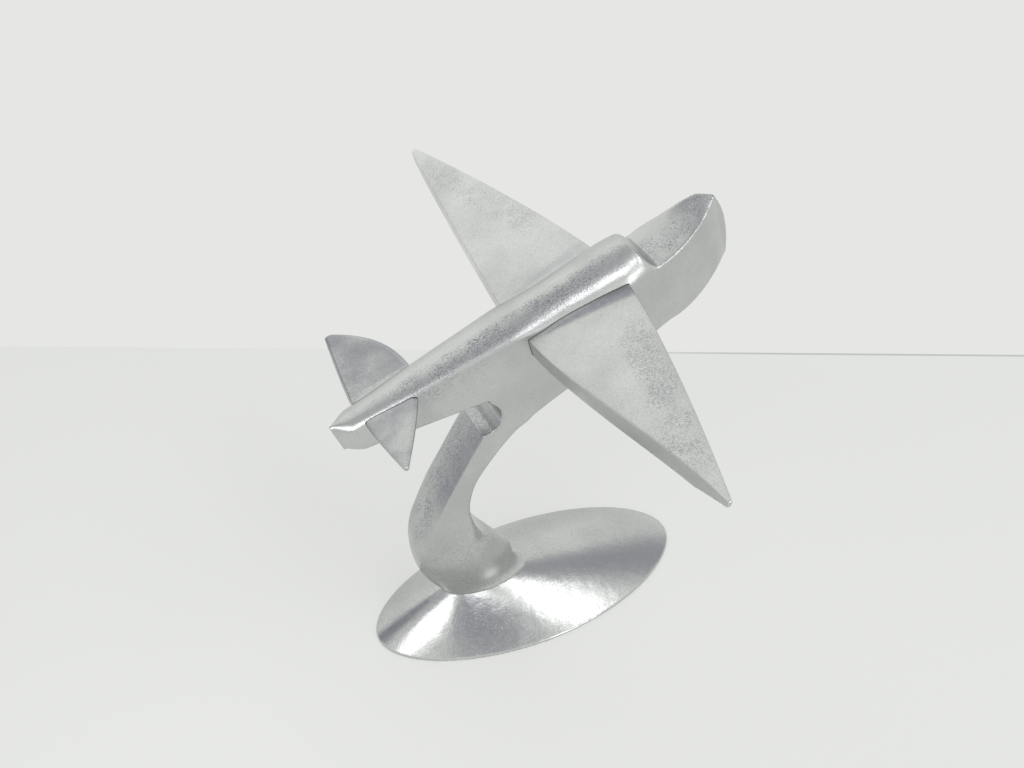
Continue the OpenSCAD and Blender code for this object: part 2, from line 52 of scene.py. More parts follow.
def flow(rows, at):
    # a Catmull-Rom curve through a list of rows
    last = len(rows) - 1
    i = int(min(at, last - 1e-6))
    t = at - i
    a, b, c, d = (np.array(rows[min(last, max(0, i + k))], float) for k in (-1, 0, 1, 2))
    return 0.5 * (2 * b + (c - a) * t + (2 * a - 5 * b + 4 * c - d) * t ** 2
                  + (3 * b - a - 3 * c + d) * t ** 3)


def oval(turn, power):
    # 2 is round, a high power is a rounded box
    c, s = math.cos(turn), math.sin(turn)
    return math.copysign(abs(c) ** (2 / power), c), math.copysign(abs(s) ** (2 / power), s)


def meshObject(name, points, faces):
    mesh = bpy.data.meshes.new(name)
    mesh.from_pydata([tuple(p * mm for p in point) for point in points], [], faces)
    piece = bpy.data.objects.new(name, mesh)
    bpy.context.scene.collection.objects.link(piece)
    return piece


def loftObject(name, rings):
    # a closed skin over rings that all have the same number of points
    count = len(rings[0])
    points = [p for ring in rings for p in ring]
    faces = []
    for start in range(0, (len(rings) - 1) * count, count):
        for i in range(count):
            after = (i + 1) % count
            faces.append([start + i, start + after, start + count + after, start + count + i])
    faces.append(list(range(count))[::-1])
    faces.append([(len(rings) - 1) * count + i for i in range(count)])
    piece = meshObject(name, points, faces)
    tidyMesh(piece)
    return piece


def tidyMesh(piece, distance=1e-6):
    # doubles merged first, then every face turned outwards
    work = bmesh.new()
    work.from_mesh(piece.data)
    bmesh.ops.remove_doubles(work, verts=work.verts, dist=distance)
    bmesh.ops.dissolve_degenerate(work, edges=work.edges, dist=distance / 10)
    bmesh.ops.recalc_face_normals(work, faces=work.faces)
    work.to_mesh(piece.data)
    work.free()


def dropObject(piece):
    mesh = piece.data
    bpy.data.objects.remove(piece, do_unlink=True)
    bpy.data.meshes.remove(mesh)


def settleMesh(piece):
    # the evaluated object becomes a plain mesh and its modifiers go
    graph = bpy.context.evaluated_depsgraph_get()
    mesh = bpy.data.meshes.new_from_object(piece.evaluated_get(graph))
    old = piece.data
    piece.modifiers.clear()
    piece.data = mesh
    bpy.data.meshes.remove(old)
    mesh.name = piece.name


def combine(piece, operation, *others):
    for other in others:
        step = piece.modifiers.new("combine", "BOOLEAN")
        step.operation = operation
        step.solver = "MANIFOLD"
        step.object = other
        settleMesh(piece)
        dropObject(other)
    return piece


def handPolish(piece, grain, passes, most):
    # a fine even mesh, then smoothing: every edge gets the small round of a polishing wheel
    remesh = piece.modifiers.new("evenMesh", "REMESH")
    remesh.mode = "VOXEL"
    remesh.voxel_size = grain * mm
    smooth = piece.modifiers.new("polish", "SMOOTH")
    smooth.factor = 0.5
    smooth.iterations = passes
    settleMesh(piece)
    triangles = sum(len(face.vertices) - 2 for face in piece.data.polygons)
    thin = piece.modifiers.new("thin", "DECIMATE")
    thin.ratio = min(1.0, most / triangles)
    settleMesh(piece)


def finishShading(piece, angle):
    piece.data.shade_smooth()
    piece.data.set_sharp_from_angle(angle=math.radians(angle))


def rod(name, low, high, radius, sides=64):
    # a round bar standing along the last axis of its own frame, from low to high
    rings = [[(low[0] + radius * math.cos(t), low[1] + radius * math.sin(t), z)
              for t in np.linspace(0, 2 * math.pi, sides, endpoint=False)] for z in (low[2], high)]
    return loftObject(name, rings)


def slab(name, outline, near, far, side):
    # an outline in [s, h], between two distances from the centre line
    return loftObject(name, [[(p[0], side * y, p[1]) for p in outline] for y in (near, far)])


# The fuselage, in its own frame: s forward and h up from a datum in the wing roots.
# A bend is the power of a curve: 1 is straight.
fuselage = {
    "climb": 19, "datumX": -1.6, "datumZ": 152.4, "tailReach": 83, "noseReach": 82,
    # plan
    "tailRound": 7, "tailPoint": 0.3, "tailHalfWidth": 6, "waistSwell": 0.6, "cabinHalfWidth": 13.2,
    "cabinTaper": 9, "cowlHalfWidth": 11.4, "cowlStraight": 3, "cowlBend": 1.9, "prowHalfWidth": 0.75,
    # top
    "tailCrown": 4.2, "cabinCrown": 7.8, "roofBend": 1.4, "screenTop": 42, "screenRun": 5.3,
    "screenRoll": 1.2, "cowlRear": -1.7, "cowlFront": 3.2, "cowlLean": 3.6, "cowlEdge": 0.4, "shoulder": 2,
    "tailRidge": 0.42,
    # underside
    "boomDepth": 8.4, "boomRootDepth": 17.4, "boomBend": 1.15, "bellyDepth": 30.5, "bellyRear": 25,
    "bellyFlat": 40, "bellyDip": 2.9, "bellyBend": 2.34, "chin": 49.5, "chinRise": 5.2, "chinBend": 1.05,
    "prow": -9.4, "prowRoundTop": 2.6, "prowRoundBottom": 2.4, "bilge": 1.6, "notchSetback": 35.2,
    "notchRadius": 7.6,
    # points in a section
    "archSteps": 22, "bilgeSteps": 5,
}
screenFoot = fuselage["screenTop"] + fuselage["screenRun"]
bowTop = fuselage["noseReach"] - fuselage["prowRoundTop"]
bowBottom = fuselage["noseReach"] - fuselage["prowRoundBottom"]
tilt = math.radians(fuselage["climb"])


def toWorld(piece):
    # from the fuselage's own frame to the model's
    turn = Matrix.Rotation(-tilt, 4, "Y")
    move = Matrix.Translation((fuselage["datumX"] * mm, 0, fuselage["datumZ"] * mm))
    piece.data.transform(move @ turn)
    return piece


def place(s, h):
    return (fuselage["datumX"] + s * math.cos(tilt) - h * math.sin(tilt),
            fuselage["datumZ"] + s * math.sin(tilt) + h * math.cos(tilt))


def halfWidth(s):
    f = fuselage
    rear = f["tailRound"] - f["tailReach"]
    cabin = f["screenTop"] - f["cabinTaper"]
    straight = f["cowlStraight"]

    def waist(at):
        t = (at - rear) / (cabin - rear)
        straightWidth = f["tailHalfWidth"] + (f["cabinHalfWidth"] - f["tailHalfWidth"]) * t
        return straightWidth + f["waistSwell"] * t * (1 - t)
    if s < rear:
        return waist(s) * max(f["tailPoint"], (1 - ((rear - s) / f["tailRound"]) ** 1.4) ** 0.75)
    if s < cabin:
        return waist(s)
    if s < screenFoot + straight:
        return f["cabinHalfWidth"] + (f["cowlHalfWidth"] - f["cabinHalfWidth"]) * ease(cabin, screenFoot, s)
    if s < bowTop:
        t = (s - screenFoot - straight) / (bowTop - screenFoot - straight)
        return f["prowHalfWidth"] + (f["cowlHalfWidth"] - f["prowHalfWidth"]) * (1 - t ** f["cowlBend"])
    return f["prowHalfWidth"] * (1 - 0.5 * (s - bowTop) / (f["noseReach"] - bowTop))


def cowl(s):
    # height of the nose deck's flat
    f = fuselage
    return f["cowlRear"] + (f["cowlFront"] - f["cowlRear"]) * (s - screenFoot) / (bowTop - screenFoot)


def crown(s):
    # height of the spine, the windscreen and the nose
    f = fuselage
    if s < screenFoot:
        t = (s + f["tailReach"]) / (f["screenTop"] + f["tailReach"])
        roof = f["tailCrown"] + (f["cabinCrown"] - f["tailCrown"]) * t ** f["roofBend"]
        # the roof rolls over into the hollow windscreen
        roll = max(0, (s - f["screenTop"] + f["screenRoll"]) / (f["screenRun"] + f["screenRoll"]))
        return roof + (cowl(screenFoot) - roof) * (1 - (1 - roll ** 2) ** 1.9)
    if s < bowTop:
        return cowl(s)
    t = max(0, (f["noseReach"] - s) / (f["noseReach"] - bowTop))
    return f["prow"] + (f["cowlFront"] - f["prow"]) * math.sqrt(t)


def shoulder(s):
    # height where the arch of a section meets its side
    f = fuselage
    if s < screenFoot:
        return f["shoulder"] + (cowl(screenFoot) - f["cowlEdge"] - f["shoulder"]) * ease(-14, 8, s)
    return crown(s) - f["cowlEdge"]


def lean(s):
    # how much higher the deck's port edge is
    rise = ease(screenFoot + 11, bowTop - 3, s) * (1 - ease(bowTop - 6, fuselage["noseReach"], s))
    return fuselage["cowlLean"] * rise


def keel(s):
    # height of the underside
    f = fuselage
    if s < -f["bellyRear"]:
        t = (s + f["tailReach"]) / (f["tailReach"] - f["notchSetback"])
        return -f["boomDepth"] - (f["boomRootDepth"] - f["boomDepth"]) * max(0, t) ** f["boomBend"]
    if s < f["bellyFlat"]:
        return -f["bellyDepth"] - f["bellyDip"] * ((f["bellyFlat"] - s) / f["bellyFlat"]) ** f["bellyBend"]
    if s < f["chin"]:
        return -f["bellyDepth"]
    if s < bowBottom:
        return -f["bellyDepth"] + f["chinRise"] * ((s - f["chin"]) / (bowBottom - f["chin"])) ** f["chinBend"]
    t = max(0, (f["noseReach"] - s) / (f["noseReach"] - bowBottom))
    return f["prow"] - (f["bellyDepth"] + f["prow"] - f["chinRise"]) * math.sqrt(t)


def fuselageRing(s):
    a, top, bottom = halfWidth(s), crown(s), keel(s)
    drop = top - shoulder(s)
    bilge = min(fuselage["bilge"], a * 0.9) if s < bowBottom else 0.2
    # the arch runs round into the sides, and meets them in a ridge toward the tail's end
    archTurn = math.pi / 2 * (1 - fuselage["tailRidge"] * (1 - ease(-80, -52, s)))

    def side(hand):
        points = []
        for t in np.linspace(0, archTurn, fuselage["archSteps"]):
            fall = drop * (1 - math.cos(t)) / (1 - math.cos(archTurn))
            points.append((a * math.sin(t) / math.sin(archTurn),
                           top - fall + lean(s) * (1 + hand * math.sin(t)) / 2))
        for t in np.linspace(0, math.pi / 2, fuselage["bilgeSteps"]):
            points.append((a - bilge * (1 - math.cos(t)), bottom + bilge * (1 - math.sin(t))))
        return points
    return [(s, -w, h) for w, h in side(starboard)] + [(s, w, h) for w, h in side(port)[:0:-1]]


def fuselageStations():
    # closer together where the shape turns quickly
    f = fuselage
    tail = [f["tailRound"] * t - f["tailReach"]
            for t in (0, 0.02, 0.06, 0.12, 0.2, 0.3, 0.42, 0.56, 0.72, 0.88)]
    boom = list(np.arange(f["tailRound"] - f["tailReach"], -f["bellyRear"] - 1, 1.5))
    step = [-f["bellyRear"] - 0.01, -f["bellyRear"] + 0.01]
    cabin = list(np.arange(-f["bellyRear"] + 1.5, f["screenTop"], 1))
    screen = list(np.linspace(f["screenTop"], screenFoot, 16))
    hood = list(np.linspace(screenFoot, bowTop, 36))[1:]
    shares = np.array([0.08, 0.15, 0.3, 0.36, 0.5, 0.65, 0.8, 0.9, 0.96, 0.99])
    prow = list(bowTop + (f["noseReach"] - bowTop) * shares)
    return tail + boom + step + cabin + screen + hood + prow


# The swept stand, cast with the fuselage, and the base under it.
stand = {
    "seatHeight": 17.5, "bowX": -56.6, "bowHeight": 52, "bowDepth": 30.4, "bowHalfWidth": 10.2,
    "neckHalfWidth": 9.8, "stepsPerRung": 7, "ringPoints": 96,
}
base = {
    "halfLength": 73.2, "halfWidth": 33.9, "setback": 2, "rimHeight": 1, "coneHeight": 22.6,
    "coneSetback": 30.4, "swell": 0.2, "wall": 5.5, "land": 4.2, "bossLift": 2, "ovalPower": 1.9,
    "bossHalfWidth": 8.8, "rings": 60, "points": 160,
}
# The stand's seat is where the cone of the base is cut off: its share of the base's length and width.
seatRise = (stand["seatHeight"] - base["rimHeight"]) / (base["coneHeight"] - base["rimHeight"])
swell = base["swell"]
seatShare = (swell - 1 + math.sqrt((1 - swell) ** 2 + 4 * swell * (1 - seatRise))) / (2 * swell)
seatHalfLength = base["halfLength"] * seatShare
seatHalfWidth = base["halfWidth"] * seatShare
seatX = -base["setback"] - base["coneSetback"] * (1 - seatShare)


def standRungs():
    # from the foot up: rear edge x and z, front edge x and z, half width, boxiness
    st = stand
    footRear, footFront = seatX - seatHalfLength, seatX + seatHalfLength
    half, neck = st["bowHalfWidth"], st["neckHalfWidth"]
    x, z = st["bowX"], st["bowHeight"]

    def level(share):
        return st["seatHeight"] + (z - st["seatHeight"]) * share
    return [
        (footRear, st["seatHeight"], footFront, st["seatHeight"], seatHalfWidth, base["ovalPower"]),
        (footRear - 0.6, level(0.06), footFront - 3.9, level(0.08), seatHalfWidth - 0.6, 1.95),
        (footRear - 3, level(0.17), footFront - 6.2, level(0.22), seatHalfWidth - 0.8, 2),
        (footRear - 7, level(0.38), footFront - 8.5, level(0.46), seatHalfWidth, 2.1),
        (x + 1.8, level(0.68), x + st["bowDepth"] + 6.2, level(0.78), half - 0.2, 2.4),
        (x + 0.9, z, x + st["bowDepth"] - 0.3, z + 1, half, 3.4),
        (x + 3.2, z + 9, x + st["bowDepth"] - 4.3, z + 10, half, 6),
        (*place(-72.2, -63), *place(-55.9, -66.4), half, 9),
        (*place(-63.4, -53.8), *place(-52.7, -59.2), (half + neck) / 2, 10),
        (*place(-54, -45.5), *place(-47.6, -53), neck, 9),
        (*place(-46.5, -39), *place(-38.9, -46.8), neck, 10),
        (*place(-40.8, -34.2), *place(-31.4, -42.5), neck, 10),
        (*place(-36, -30.6), *place(-24.6, -39.5), neck, 10),
        (*place(-31.5, -26), *place(-16.5, -37.3), neck, 10),
        (*place(-30, -18), *place(-9, -27), neck, 10),
        (*place(-30, -11), *place(-3, -18), neck, 10),
    ]


def standRings():
    rungs = standRungs()
    rings = []
    for k in range((len(rungs) - 1) * stand["stepsPerRung"] + 1):
        r = flow(rungs, k / stand["stepsPerRung"])
        ring = []
        for i in range(stand["ringPoints"]):
            p = oval(2 * math.pi * (i + 0.5) / stand["ringPoints"], r[5])
            ring.append(((r[0] + r[2]) / 2 + (r[2] - r[0]) / 2 * p[0], r[4] * p[1],
                         (r[1] + r[3]) / 2 + (r[3] - r[1]) / 2 * p[0]))
        rings.append(ring)
    return rings


# One wing panel, as a section that runs out along the span.
wing = {
    "halfSpan": 115, "lead": 34.8, "leadSweep": 29.4, "trail": 7.8, "portSweep": 11.2, "starboardSweep": 12.6,
    "leadBend": 1.305, "height": -0.9, "dihedral": 5.4, "trailThickness": 9.8, "rootThinning": 2,
    "leadThickness": 1.2, "crown": 0.8, "rake": 0.6,
    "seat": 10, "tenonThickness": 5, "tenonLength": 24, "gap": 0.15, "pinRadius": 2.1, "pinOffset": 6,
    "edgeRound": 0.45, "stations": 70,
}
tail = {
    "halfSpan": 38.8, "height": 1.2, "dihedral": 10.5, "thickness": 3, "seat": 5.6, "trailSweep": 4.4,
    "tongueThickness": 2.2, "tongueLength": 11, "gap": 0.15, "pinRadius": 1.1, "pinOffset": 3, "stations": 44,
    port: {"lead": 47.2, "sweep": 18.8, "bend": 2.9, "trail": 73.2},
    starboard: {"lead": 48.6, "sweep": 17.4, "bend": 1.2, "trail": 72},
}
tailRoot = fuselage["tailHalfWidth"] + 2.5


def roundCorners(corners, radii, steps=5):
    # each corner of a closed outline gives way to a short curve
    points = []
    count = len(corners)
    for i, corner in enumerate(corners):
        here = np.array(corner, float)
        if radii[i] == 0:
            points.append(tuple(here))
            continue
        arms = []
        for other in (corners[i - 1], corners[(i + 1) % count]):
            arm = np.array(other, float) - here
            reach = np.linalg.norm(arm)
            arms.append(arm / max(reach, 1e-9) * min(radii[i], reach * 0.48))
        for t in np.linspace(0, 1, steps):
            points.append(tuple(here + arms[0] * (1 - t) ** 2 + arms[1] * t ** 2))
    return points


def wingFront(y):
    return wing["lead"] - wing["leadSweep"] * (abs(y) / wing["halfSpan"]) ** wing["leadBend"]


def wingOutline(y, side):
    w = wing
    root = fuselage["cabinHalfWidth"]
    t = max(0, (y - root) / (w["halfSpan"] - root))
    if side == port:
        rear = -w["trail"] + w["portSweep"] * t ** 1.1
    else:
        rear = -w["trail"] + w["starboardSweep"] * (0.75 * (1 - math.cos(math.pi * t)) / 2 + 0.25 * t)
    front = wingFront(y)
    top = w["height"] + math.tan(math.radians(w["dihedral"])) * y
    thick = w["trailThickness"] - w["rootThinning"] * (1 - ease(30, 80, y))
    thick = max(w["leadThickness"] + 0.4, thick * (1 - (y / (w["halfSpan"] + 1)) ** 18))
    thick = min(thick, 0.9 * (front - rear) + 2.5)
    nose = min(w["leadThickness"], thick)
    crest = min(w["crown"], (front - rear) / 30)
    inner = [(rear + (front - rear) * k, top + crest * 4 * k * (1 - k)) for k in np.linspace(0.06, 0.94, 14)]
    edge = [(front, top), (front + nose * 0.3, top - nose * 0.5), (front, top - nose)]
    heel = rear - w["rake"] * min(1, thick / 5)
    below = [((rear + front) / 2, top - (thick + nose) / 2), (heel, top - thick)]
    corners = [(rear, top)] + inner + edge + below
    r = w["edgeRound"]
    radii = [r] + [0] * len(inner) + [nose * 0.4, nose * 0.4, nose * 0.4, 0, r]
    return roundCorners(corners, radii)


def tailOutline(y, side):
    w, p = tail, tail[side]
    k = y / w["halfSpan"]
    front = -p["lead"] - p["sweep"] * k ** p["bend"]
    rear = -p["trail"] + w["trailSweep"] * k ** 1.4
    thick = w["thickness"] * (1 - 0.35 * k * k)
    top = w["height"] + math.tan(math.radians(w["dihedral"])) * y
    room = (front - rear) / 2.4
    bevel, fall = min(1.7, room), min(1.0, thick * 0.34)     # filed bevel along the leading edge
    back, dip = min(0.8, room), thick * 0.2
    corners = [(rear, top - dip), (rear + back, top), (front - bevel, top), (front, top - fall),
               (front - bevel * 0.2, top - thick + fall * 0.7), (front - bevel, top - thick),
               (rear + back, top - thick), (rear, top - thick + dip)]
    return roundCorners(corners, [0.35, 0.5, 0.5, 0.5, 0.4, 0.4, 0.4, 0.35], 4)


def panelObject(name, outline, seat, root, tip, stations, side):
    # the root runs straight into its socket, and the last few rings close the tip in a small round
    rings = [[(s, side * seat, h) for s, h in outline(root, side)]]
    nearTip = tip - np.array([5, 4, 3, 2.2, 1.5, 1, 0.6])
    for y in np.concatenate([np.linspace(root, tip - 6, stations), nearTip]):
        rings.append([(s, side * y, h) for s, h in outline(y, side)])
    last = np.array(outline(tip - 0.6, side))
    middle = last.mean(0)
    for share, y in ((0.93, 0.35), (0.8, 0.15), (0.55, 0.03), (0.2, 0)):
        rings.append([(*(middle + (p - middle) * share), side * (tip - y)) for p in last])
        rings[-1] = [(s, y2, h) for s, h, y2 in rings[-1]]
    return loftObject(name, rings)


def wingTenon(side, gap):
    w = wing
    rear = (w["lead"] - w["trail"] - w["tenonLength"]) / 2 - 3
    top = w["height"] + math.tan(math.radians(w["dihedral"])) * w["seat"] - 1.6
    low, high = rear - gap, rear + w["tenonLength"] + gap
    floor = top - w["tenonThickness"] - gap
    box = [(low, floor), (high, floor), (high, top + gap), (low, top + gap)]
    return box, (rear + w["tenonLength"] / 2, top - 0.4)


def tailTongue(side, gap):
    w = tail
    rear = -w[starboard]["trail"] + 5
    top = w["height"] + math.tan(math.radians(w["dihedral"])) * w["seat"]
    top = top - (w["thickness"] - w["tongueThickness"]) / 2
    low, high = rear - gap, rear + w["tongueLength"] + gap
    floor = top - w["tongueThickness"] - gap
    box = [(low, floor), (high, floor), (high, top + gap), (low, top + gap)]
    return box, (rear + w["tongueLength"] / 2, top - 0.3)


def grown(outline, gap):
    # an outline grown away from its middle by the gap
    points = np.array(outline)
    middle = (points.min(0) + points.max(0)) / 2
    return [tuple(p + gap * np.sign(p - middle)) for p in points]


def markPoints(piece, name, rule):
    # a share from 0 to 1 at each point, which the metal shows as pores or as painted shade
    count = len(piece.data.vertices)
    at, normal = np.zeros(count * 3), np.zeros(count * 3)
    piece.data.vertices.foreach_get("co", at)
    piece.data.vertices.foreach_get("normal", normal)
    at, normal = at.reshape(-1, 3) / mm, normal.reshape(-1, 3)
    x, z = at[:, 0] - fuselage["datumX"], at[:, 2] - fuselage["datumZ"]
    s = x * math.cos(tilt) + z * math.sin(tilt)
    h = z * math.cos(tilt) - x * math.sin(tilt)
    amount = np.clip(rule(s, at[:, 1], h, at[:, 2], normal), 0, 1)
    layer = piece.data.attributes.new(name, "FLOAT", "POINT")
    layer.data.foreach_set("value", amount.astype(np.float32))


def hump(value, middle, reach):
    return np.clip(1.35 - ((value - middle) / reach) ** 2 * 1.35, 0, 1)


def poresAndPaintedShadeBody(s, y, h, z, normal):
    # mottling along the spine, on the nose deck and round the foot; painted shade, laid on as the same
    # mottling, down the rear of the stem and in the notch
    f = fuselage
    spine = hump(y, -4.5, 5.5) * (h > 1) * hump(s, -10, 62)
    cowlTop = hump(y, -2, 8) * (s > screenFoot) * (normal[:, 2] > 0.5) * (0.7 + 0.3 * (s > 72))
    # painted shade: the rear face of the stem darkened
    stemRear = (normal[:, 0] < -0.45) * hump(z, 86, 34) * (h < -14) * hump(y, 0, 10)
    # painted shade: the hollow of the notch darkened, as in a shadowed recess
    fromNotch = np.hypot(s + f["notchSetback"], h + f["boomRootDepth"] + f["notchRadius"])
    scoop = hump(fromNotch, f["notchRadius"], 1) * (s > -f["notchSetback"] - 4) * 0.55
    lowStem = hump(z, 36, 30) * 0.3
    return np.maximum.reduce([spine, cowlTop, stemRear, scoop, lowStem])


def paintedShadeBody(s, y, h, z, normal):
    # painted shade down the rear face of the stem, darkest along its starboard edge
    return (normal[:, 0] < -0.55) * (h < -30) * hump(z, 97, 24) * np.clip(0.5 - y / 18, 0.15, 1) * 0.85


def spongyWing(s, y, h, z, normal):
    # along the leading edge, and more of it to starboard
    edge = hump(wingFront(y) - s, 7, 8) * hump(np.abs(y), 68, 46) * np.where(y > 0, 0.35, 0.6)
    return (normal[:, 2] > 0.3) * np.maximum(edge, 0.1)


def paintedShadeWing(s, y, h, z, normal):
    # painted shade beside the root, wider to the front: the dark reflection of the fuselage's side, laid on
    # as a darker band
    along = np.clip((s + wing["trail"]) / (wing["lead"] + wing["trail"]), 0, 1)
    out = np.abs(y) - (10.7 + 2.5 * along)
    band = np.clip(1.3 - ((out - 0.4 - 2.4 * along) / (1.3 + 3.6 * along)) ** 2 * 1.3, 0, 1)
    return (normal[:, 2] > 0.3) * band * np.where(y > 0, 0.3, 0.95)


def spongyBase(s, y, h, z, normal):
    # a little everywhere
    return 0.2 + 0 * s


def pinBore(name, at, side, offset, radius):
    s, top = at
    return rod(name, (s, side * offset, keel(s) - 4), top + 0.1, radius)


def makeBody():
    body = loftObject("bodyCasting", [fuselageRing(s) for s in fuselageStations()])
    f = fuselage
    notch = []
    for y in (-40, 40):
        notch.append([(-f["notchSetback"] + f["notchRadius"] * math.cos(t), y,
                       -f["boomRootDepth"] - f["notchRadius"] + f["notchRadius"] * math.sin(t))
                      for t in np.linspace(0, 2 * math.pi, 96, endpoint=False)])
    toWorld(body)
    combine(body, "UNION", loftObject("stem", standRings()))
    combine(body, "DIFFERENCE", toWorld(loftObject("notch", notch)))
    handPolish(body, 0.4, 3, 185000)
    foot = loftObject("belowSeat", [[(-150, -40, z), (10, -40, z), (10, 40, z), (-150, 40, z)]
                                    for z in (-5, stand["seatHeight"])])
    combine(body, "DIFFERENCE", foot)
    for side in (port, starboard):
        box, pin = wingTenon(side, wing["gap"])
        socket = grown(wingOutline(f["cabinHalfWidth"], side), wing["gap"])
        combine(body, "DIFFERENCE", toWorld(slab("socket", socket, wing["seat"] - wing["gap"], 30, side)),
                toWorld(slab("mortise", box, -0.1, wing["seat"] + 1, side)),
                toWorld(pinBore("bore", pin, side, wing["pinOffset"], wing["pinRadius"])))
        box, pin = tailTongue(side, tail["gap"])
        socket = grown(tailOutline(tailRoot, side), tail["gap"])
        combine(body, "DIFFERENCE", toWorld(slab("socket", socket, tail["seat"] - tail["gap"], 30, side)),
                toWorld(slab("mortise", box, 0.1, tail["seat"] + 1, side)),
                toWorld(pinBore("bore", pin, side, tail["pinOffset"], tail["pinRadius"])))
    finishShading(body, 50)
    markPoints(body, "poresAndShade", poresAndPaintedShadeBody)
    markPoints(body, "paintedShade", paintedShadeBody)
    return body


def makePanel(name, side, kind):
    if kind == "wing":
        panel = panelObject(name, wingOutline, wing["seat"], fuselage["cabinHalfWidth"],
                            wing["halfSpan"] - 0.6, wing["stations"], side)
        box, pin = wingTenon(side, 0)
        seat, offset, radius = wing["seat"], wing["pinOffset"], wing["pinRadius"]
    else:
        panel = panelObject(name, tailOutline, tail["seat"], tailRoot, tail["halfSpan"] - 0.15,
                            tail["stations"], side)
        box, pin = tailTongue(side, 0)
        seat, offset, radius = tail["seat"], tail["pinOffset"], tail["pinRadius"]
    combine(panel, "UNION", slab("tenon", box, 0.15, seat + 1, side))
    combine(panel, "DIFFERENCE", pinBore("bore", pin, side, offset, radius))
    toWorld(panel)
    finishShading(panel, 35)
    markPoints(panel, "poresAndShade", spongyWing)
    if kind == "wing":
        markPoints(panel, "paintedShade", paintedShadeWing)
    return panel


def addNode(tree, kind, inputs=None, **settings):
    # a node with its settings, its values and the links into it
    node = tree.nodes.new(kind)
    for name, value in settings.items():
        setattr(node, name, value)
    for name, value in (inputs or {}).items():
        if isinstance(value, bpy.types.NodeSocket):
            tree.links.new(value, node.inputs[name])
        else:
            node.inputs[name].default_value = value
    return node


def calc(tree, operation, a, b=0.0, c=0.0):
    return addNode(tree, "ShaderNodeMath", {0: a, 1: b, 2: c}, operation=operation).outputs[0]


def coneTree(material):
    # an oval cone as a closed skin: floor, upright rim, swelling slope and point, ring by ring
    tree = bpy.data.node_groups.new("ovalCone", "GeometryNodeTree")
    tree.interface.new_socket("Geometry", in_out="OUTPUT", socket_type="NodeSocketGeometry")
    sizes = ["Half Length", "Half Width", "Middle", "Point Setback", "Foot", "Rim Height", "Cone Height",
             "Swell", "Oval Power"]
    for name in sizes:
        tree.interface.new_socket(name, in_out="INPUT", socket_type="NodeSocketFloat")
    for name in ("Rings", "Points"):
        tree.interface.new_socket(name, in_out="INPUT", socket_type="NodeSocketInt")
    given = addNode(tree, "NodeGroupInput").outputs

    def add(a, b):
        return calc(tree, "ADD", a, b)

    def less(a, b):
        return calc(tree, "SUBTRACT", a, b)

    def times(a, b):
        return calc(tree, "MULTIPLY", a, b)

    grid = addNode(tree, "GeometryNodeMeshGrid", {"Size X": 1.0, "Size Y": 1.0, "Vertices X": given["Rings"],
                                                  "Vertices Y": given["Points"]})
    position = addNode(tree, "GeometryNodeInputPosition").outputs[0]
    where = addNode(tree, "ShaderNodeSeparateXYZ", {0: position}).outputs
    step = calc(tree, "ROUND", times(add(where[0], 0.5), less(given["Rings"], 1.0)))
    turn = times(add(where[1], 0.5), 2 * math.pi)
    power = calc(tree, "DIVIDE", 2.0, given["Oval Power"])
    across = []
    for kind in ("COSINE", "SINE"):
        wave = calc(tree, kind, turn)
        size = calc(tree, "POWER", calc(tree, "ABSOLUTE", wave), power)
        across.append(times(calc(tree, "SIGN", wave), size))
    # rings 0 and 1 are the floor, ring 2 the top of the rim, and the rest climb to the point
    climb = calc(tree, "DIVIDE", calc(tree, "MAXIMUM", less(step, 2.0), 0.0), less(given["Rings"], 3.0))
    share = times(less(1.0, climb), calc(tree, "MINIMUM", step, 1.0))
    slope = times(climb, add(1.0, times(given["Swell"], share)))
    onCone = add(given["Rim Height"], times(less(given["Cone Height"], given["Rim Height"]), slope))
    isFloor = calc(tree, "LESS_THAN", step, 1.5)
    height = add(times(isFloor, given["Foot"]), times(less(1.0, isFloor), onCone))
    x = less(times(times(given["Half Length"], share), across[0]), times(given["Point Setback"], climb))
    y = times(times(given["Half Width"], share), across[1])
    point = addNode(tree, "ShaderNodeCombineXYZ", {0: less(x, given["Middle"]), 1: y, 2: height}).outputs[0]
    moved = addNode(tree, "GeometryNodeSetPosition", {"Geometry": grid.outputs["Mesh"], "Position": point})
    sewn = addNode(tree, "GeometryNodeMergeByDistance", {"Geometry": moved.outputs[0], "Distance": 1e-7})
    real = addNode(tree, "GeometryNodeRealizeInstances", {0: sewn.outputs[0]})
    coated = addNode(tree, "GeometryNodeSetMaterial", {"Geometry": real.outputs[0], "Material": material})
    addNode(tree, "NodeGroupOutput", {0: coated.outputs[0]})
    return tree


def coneObject(name, tree, halfLength, halfWidth, foot, drop):
    piece = meshObject(name, [], [])
    modifier = piece.modifiers.new("ovalCone", "NODES")
    modifier.node_group = tree
    values = {"Half Length": halfLength * mm, "Half Width": halfWidth * mm, "Middle": base["setback"] * mm,
              "Point Setback": base["coneSetback"] * mm, "Foot": foot * mm,
              "Rim Height": (base["rimHeight"] - drop) * mm, "Cone Height": (base["coneHeight"] - drop) * mm,
              "Swell": base["swell"], "Oval Power": base["ovalPower"], "Rings": base["rings"],
              "Points": base["points"]}
    for socket in tree.interface.items_tree:
        if socket.in_out == "INPUT":
            modifier[socket.identifier] = values[socket.name]
    piece.update_tag()
    settleMesh(piece)
    tidyMesh(piece, 1e-7)
    return piece


fixings = {
    "screwRadius": 3.1, "washerRadius": 6.4, "headHeight": 5, "washerThickness": 1.6, "dowelRadius": 2.1,
    "dowelLength": 14, "headClearance": 0.9,
}
screwX = seatX + seatHalfLength * 0.2
dowelX = seatX - seatHalfLength * 0.45
washerTop = base["bossLift"] + fixings["headHeight"] + fixings["washerThickness"] + fixings["headClearance"]


